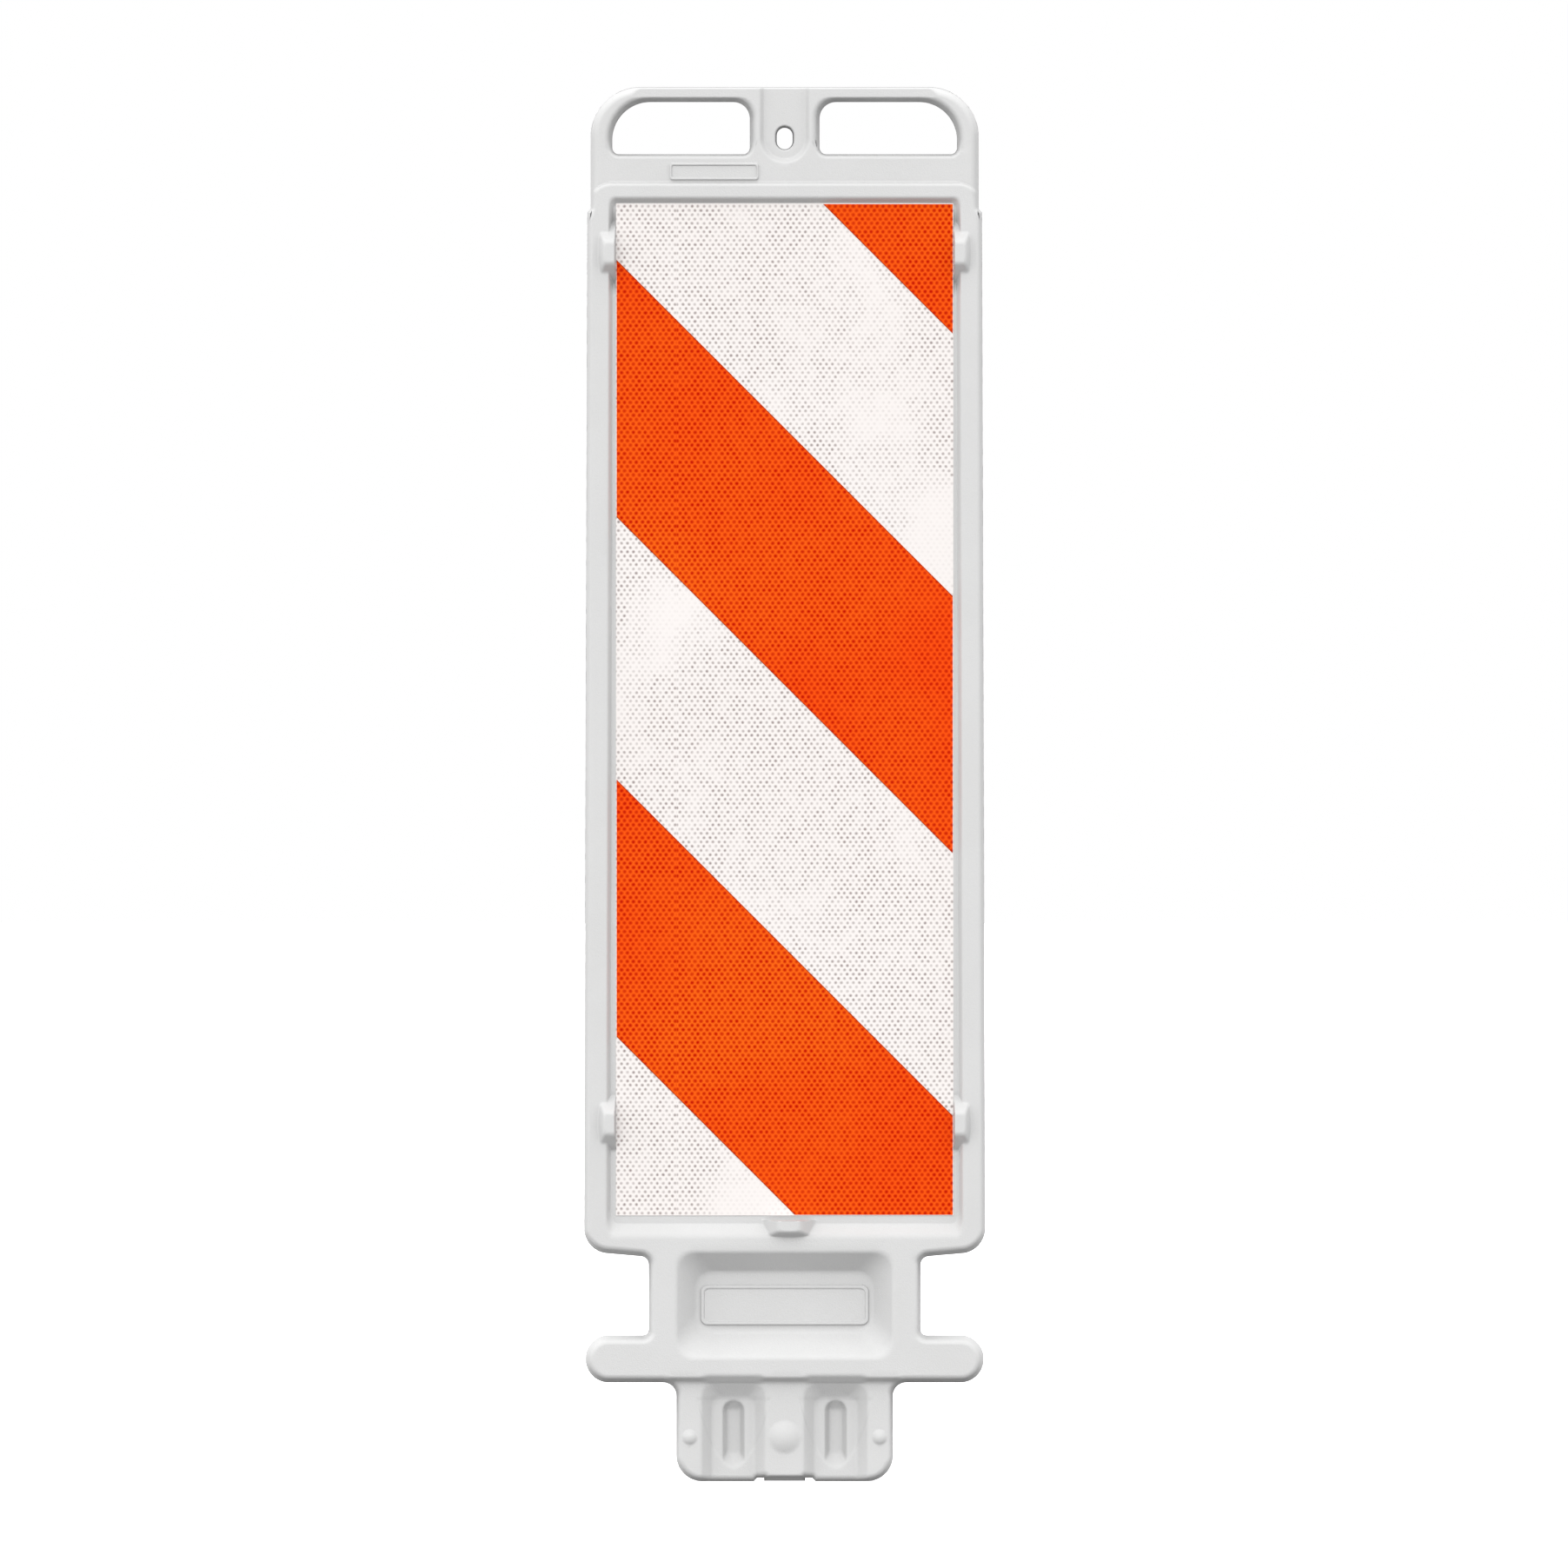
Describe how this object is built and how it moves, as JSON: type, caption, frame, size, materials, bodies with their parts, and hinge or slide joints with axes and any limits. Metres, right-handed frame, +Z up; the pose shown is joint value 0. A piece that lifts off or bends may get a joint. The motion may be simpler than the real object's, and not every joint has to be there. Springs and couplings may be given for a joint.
{
  "type": "vertical panel barricade",
  "caption": "Plug-in vertical panel barricade: hollow moulded panel with a two-hole handle, a bolt slot, a crossbar and a tongue, with striped sheeting on both faces.",
  "frame": {"origin": "centre of the tongue's underside, on the panel's middle plane", "axes": "+Z up, from the tongue to the handle; the front faces -Y; +X to the right as seen from the front"},
  "size_m": [0.242, 0.0435, 0.8406],
  "materials": {
    "moulding": "matte white polyethylene with a fine moulded grain",
    "white_sheeting": "white prismatic reflective sheeting, smooth and glossy",
    "orange_film": "clear orange overlay film, smooth and glossy"
  },
  "bodies": {
    "root": {"panel_body": "moulding", "front_sheeting": "white_sheeting", "rear_sheeting": "white_sheeting", "front_stripe_top": "orange_film", "front_stripe_middle": "orange_film", "front_stripe_bottom": "orange_film", "rear_stripe_top": "orange_film", "rear_stripe_middle": "orange_film", "rear_stripe_bottom": "orange_film"}
  },
  "joints": []
}
